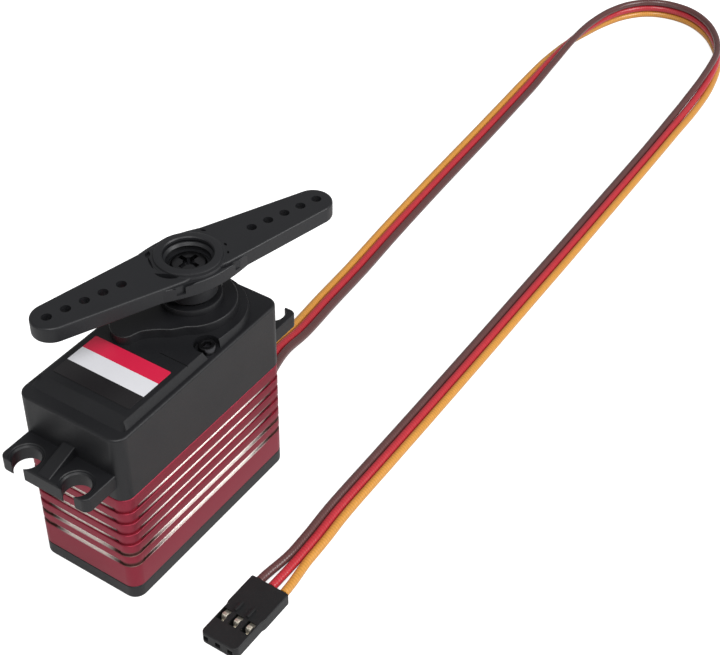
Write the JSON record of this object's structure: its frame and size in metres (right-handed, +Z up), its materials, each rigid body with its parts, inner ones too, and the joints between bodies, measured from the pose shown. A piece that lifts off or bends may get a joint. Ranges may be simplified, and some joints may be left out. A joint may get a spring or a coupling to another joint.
{
  "type": "servo motor",
  "caption": "Standard-size digital servo motor with metal gears, grooved aluminium middle case, slotted mounting lugs, double-arm horn and a three-wire lead with connector.",
  "frame": {"origin": "centre of the body's bottom face", "axes": "+X towards the output end, where the lead leaves; +Y across the body; +Z up along the output axis"},
  "size_m": [0.2343, 0.0485, 0.0478],
  "materials": {
    "black_plastic": "fine moulded texture",
    "horn_plastic": "moulded",
    "red_anodised_aluminium": "red anodised, bare metal in the grooves",
    "label_film": "printed film",
    "screw_steel": "machined",
    "black_screw": "black oxide",
    "shaft_steel": "machined",
    "gear_brass": "machined",
    "bearing_steel": "ground",
    "pot_body": "moulded",
    "motor_steel": "nickel plated",
    "end_bell_plastic": "moulded",
    "magnet_ferrite": "sintered",
    "copper_winding": "enamelled wire",
    "contact_metal": "tin plated",
    "board": "solder mask",
    "chip_plastic": "moulded",
    "capacitor_sleeve": "shrink sleeve",
    "grommet_rubber": "moulded",
    "wire_brown": "wire insulation",
    "wire_red": "wire insulation",
    "wire_orange": "wire insulation",
    "connector_plastic": "moulded"
  },
  "bodies": {
    "housing": {"bottom_cover": "black_plastic", "middle_case": "red_anodised_aluminium", "top_case": "black_plastic", "top_label": "label_film", "case_screw_1": "screw_steel", "case_screw_2": "screw_steel", "case_screw_3": "screw_steel", "case_screw_4": "screw_steel", "deck_screw_1": "black_screw", "deck_screw_2": "black_screw", "gear_pin": "shaft_steel", "upper_bearing_outer_ring": "bearing_steel", "lower_bearing_outer_ring": "bearing_steel", "potentiometer": "pot_body", "potentiometer_wire_1": "wire_red", "potentiometer_wire_2": "wire_red", "potentiometer_wire_3": "wire_red", "motor_can": "motor_steel", "motor_end_bell": "end_bell_plastic", "motor_magnet_1": "magnet_ferrite", "motor_screw_1": "screw_steel", "motor_terminal_1": "contact_metal", "motor_magnet_2": "magnet_ferrite", "motor_screw_2": "screw_steel", "motor_terminal_2": "contact_metal", "circuit_board": "board", "controller_chip": "chip_plastic", "driver_chip_1": "chip_plastic", "driver_chip_2": "chip_plastic", "capacitor": "capacitor_sleeve", "lead_grommet": "grommet_rubber", "connector_housing": "connector_plastic", "lead_tail_brown": "wire_brown", "wire_brown": "wire_brown", "lead_tail_red": "wire_red", "wire_red": "wire_red", "lead_tail_orange": "wire_orange", "wire_orange": "wire_orange", "connector_contact_1": "contact_metal", "connector_contact_2": "contact_metal", "connector_contact_3": "contact_metal"},
    "output": {"output_shaft": "shaft_steel", "output_gear": "gear_brass", "upper_bearing_inner_ring": "bearing_steel", "lower_bearing_inner_ring": "bearing_steel", "potentiometer_shaft": "shaft_steel", "horn": "horn_plastic", "horn_screw": "black_screw"},
    "gear_3": {"gear_3": "gear_brass"},
    "gear_2": {"gear_2": "gear_brass"},
    "gear_1": {"gear_1": "gear_brass"},
    "rotor": {"motor_rotor": "copper_winding", "motor_shaft": "shaft_steel", "motor_pinion": "gear_brass"},
    "upper_cage": {"upper_bearing_cage": "bearing_steel"},
    "lower_cage": {"lower_bearing_cage": "bearing_steel"}
  },
  "joints": [
    {"name": "output_turn", "type": "hinge", "parent": "housing", "child": "output", "pos_m": [0.01015, 0, 0], "axis": [0, 0, 1], "range_deg": [-90, 90]},
    {"name": "gear_3_turn", "type": "hinge", "parent": "housing", "child": "gear_3", "pos_m": [-0.00025, 0, 0], "axis": [0, 0, 1], "range_deg": [-310, 310]},
    {"name": "gear_2_turn", "type": "hinge", "parent": "housing", "child": "gear_2", "pos_m": [0.01015, 0, 0], "axis": [0, 0, 1], "range_deg": [-580, 580]},
    {"name": "gear_1_turn", "type": "hinge", "parent": "housing", "child": "gear_1", "pos_m": [-0.00025, 0, 0], "axis": [0, 0, 1], "range_deg": [-1900, 1900]},
    {"name": "rotor_turn", "type": "hinge", "parent": "housing", "child": "rotor", "pos_m": [-0.00865, 0, 0], "axis": [0, 0, 1], "range_deg": [-8700, 8700]},
    {"name": "upper_cage_turn", "type": "hinge", "parent": "housing", "child": "upper_cage", "pos_m": [0.01015, 0, 0], "axis": [0, 0, 1], "range_deg": [-40, 40]},
    {"name": "lower_cage_turn", "type": "hinge", "parent": "housing", "child": "lower_cage", "pos_m": [0.01015, 0, 0], "axis": [0, 0, 1], "range_deg": [-40, 40]}
  ],
  "couplings": [
    {"joint": "gear_3_turn", "follows": "output_turn", "ratio": -3.3333},
    {"joint": "gear_2_turn", "follows": "output_turn", "ratio": 6.2963},
    {"joint": "gear_1_turn", "follows": "output_turn", "ratio": -20.988},
    {"joint": "rotor_turn", "follows": "output_turn", "ratio": 96.543},
    {"joint": "upper_cage_turn", "follows": "output_turn", "ratio": 0.44},
    {"joint": "lower_cage_turn", "follows": "output_turn", "ratio": 0.435}
  ]
}
